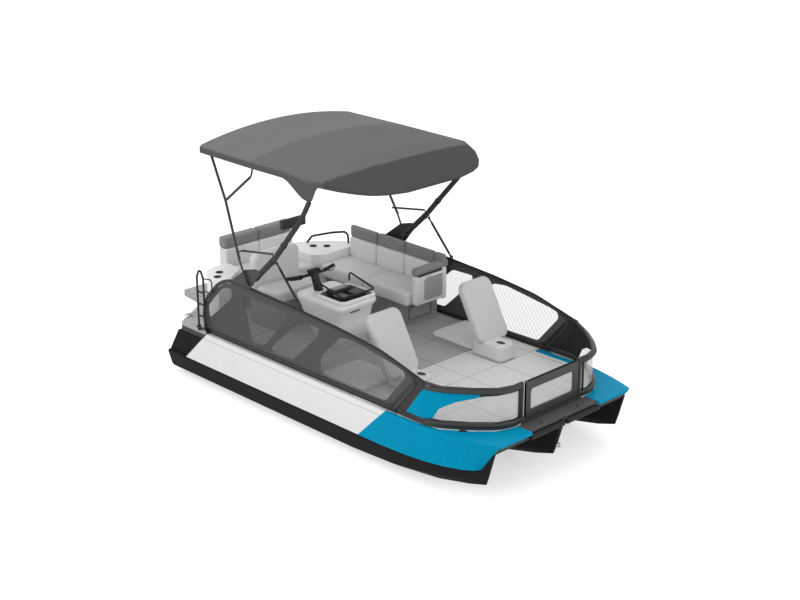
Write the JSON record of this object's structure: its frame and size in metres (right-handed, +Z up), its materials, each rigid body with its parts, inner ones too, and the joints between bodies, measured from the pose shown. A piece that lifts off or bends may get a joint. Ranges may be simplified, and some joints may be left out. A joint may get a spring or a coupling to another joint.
{
  "type": "pontoon boat",
  "caption": "Three-hull jet pontoon boat with railed lounge deck, helm console, boarding ladder and a folding bimini top.",
  "frame": {"origin": "on the floor under the middle of the boat's length", "axes": "+X towards the bow, +Y to port, +Z up"},
  "size_m": [5.4999, 2.44, 2.855],
  "materials": {
    "hull_black": "semi-matt black coated aluminium",
    "deck_black": "black painted plate",
    "panel_white": "gloss white painted aluminium",
    "fairing_blue": "gloss blue painted moulding",
    "deck_grey": "grey non-slip deck covering",
    "deck_pale": "pale tiled deck moulding",
    "rail_grey": "dark grey powder-coated tube",
    "side_fabric": "dark grey side fabric",
    "mesh": "see-through grey mesh",
    "clear_mesh": "nearly clear mesh",
    "gate_pane": "smoked see-through mesh",
    "upholstery": "light grey marine vinyl",
    "seat_base": "mid grey moulded base",
    "console_grey": "light grey moulding",
    "tray_dark": "dark moulded tray",
    "canopy_grey": "grey canvas",
    "trim_black": "black moulded trim",
    "rubber_black": "black rubber",
    "fitting_steel": "brushed stainless fittings",
    "jet_alloy": "cast aluminium",
    "engine": null,
    "mirror_glass": "black mirror case"
  },
  "bodies": {
    "hull": {"centre_hull": "hull_black", "pontoon_port": "hull_black", "pontoon_starboard": "hull_black", "engine_block": "engine", "bridge_deck": "deck_black", "deck_aft": "deck_grey", "deck_bow": "deck_pale", "swim_platform": "deck_grey", "side_panels": "panel_white", "bow_fairings": "fairing_blue", "bow_step": "deck_black", "bow_bumper": "rubber_black", "fence_frame_port": "rail_grey", "fence_frame_starboard": "rail_grey", "fence_panels": "side_fabric", "fence_mesh": "mesh", "bow_rails": "rail_grey", "bow_screens": "fairing_blue", "bow_windows": "clear_mesh", "gate_posts": "rail_grey", "bimini_brackets": "rail_grey", "corner_module": "console_grey", "lounge_base": "seat_base", "stern_cushion": "upholstery", "port_cushion": "upholstery", "port_backrest": "upholstery", "stern_backrest": "upholstery", "armrest": "upholstery", "corner_tray": "console_grey", "helm_base": "seat_base", "helm_cushion": "upholstery", "helm_backrest": "upholstery", "console": "console_grey", "dash_tray": "tray_dark", "windscreen": "trim_black", "bow_seat_pads": "seat_base", "bow_seat_blocks": "seat_base", "bow_backrests": "upholstery", "stern_grab_rail": "trim_black", "deck_fittings": "fitting_steel", "jet_pump": "jet_alloy", "ladder_mounts": "trim_black", "steering_boot": "trim_black"},
    "bow_gate": {"gate_frame": "rail_grey", "gate_screen": "gate_pane"},
    "steering": {"handlebar": "trim_black"},
    "nozzle": {"steering_nozzle": "jet_alloy"},
    "reverse": {"reverse_gate": "jet_alloy"},
    "jet_rotor": {"impeller": "jet_alloy"},
    "ladder": {"boarding_ladder": "trim_black"},
    "main_frame": {"main_bow": "rail_grey", "mirror": "mirror_glass", "canopy": "canopy_grey"},
    "aft_frame": {"aft_bow": "rail_grey", "aft_poles": "rail_grey"},
    "struts": {"front_struts": "rail_grey"},
    "links": {"brace_links": "rail_grey"}
  },
  "joints": [
    {"name": "gate_hinge", "type": "hinge", "parent": "hull", "child": "bow_gate", "pos_m": [2.528, 0.388, 0.86], "axis": [0, 0, -1], "range_deg": [0, 95]},
    {"name": "steering_turn", "type": "hinge", "parent": "hull", "child": "steering", "pos_m": [-0.56, -0.29, 1.195], "axis": [-0.3714, 0, 0.9285], "range_deg": [-30, 30]},
    {"name": "nozzle_turn", "type": "hinge", "parent": "hull", "child": "nozzle", "pos_m": [-2.1903, 0, 0.23], "axis": [0, 0, 1], "range_deg": [-22, 22]},
    {"name": "reverse_swing", "type": "hinge", "parent": "hull", "child": "reverse", "pos_m": [-2.232, 0, 0.318], "axis": [0, -1, 0], "range_deg": [0, 75]},
    {"name": "impeller_spin", "type": "hinge", "parent": "hull", "child": "jet_rotor", "pos_m": [-1.95, 0, 0.23], "axis": [1, 0, 0], "continuous": true},
    {"name": "ladder_swing", "type": "hinge", "parent": "hull", "child": "ladder", "pos_m": [-1.475, -1.185, 0.695], "axis": [1, 0, 0], "range_deg": [0, 155]},
    {"name": "bimini_fold", "type": "hinge", "parent": "hull", "child": "main_frame", "pos_m": [-0.684, 0, 1.402], "axis": [0, -1, 0], "range_deg": [0, 112], "deforming": ["canopy"]},
    {"name": "aft_bow_fold", "type": "hinge", "parent": "main_frame", "child": "aft_frame", "pos_m": [-0.684, 0, 1.402], "axis": [0, -1, 0], "range_deg": [-54.1, 0]},
    {"name": "strut_fold", "type": "hinge", "parent": "main_frame", "child": "struts", "pos_m": [-0.25, 0, 1.734], "axis": [0, -1, 0], "range_deg": [-82.5, 0]},
    {"name": "link_fold", "type": "hinge", "parent": "main_frame", "child": "links", "pos_m": [-0.325, 0, 1.814], "axis": [0, -1, 0], "range_deg": [0, 31.2]}
  ],
  "couplings": [
    {"joint": "nozzle_turn", "follows": "steering_turn", "ratio": 0.7},
    {"joint": "aft_bow_fold", "follows": "bimini_fold", "ratio": -0.482},
    {"joint": "strut_fold", "follows": "bimini_fold", "ratio": -0.73},
    {"joint": "link_fold", "follows": "bimini_fold", "ratio": 0.275}
  ]
}
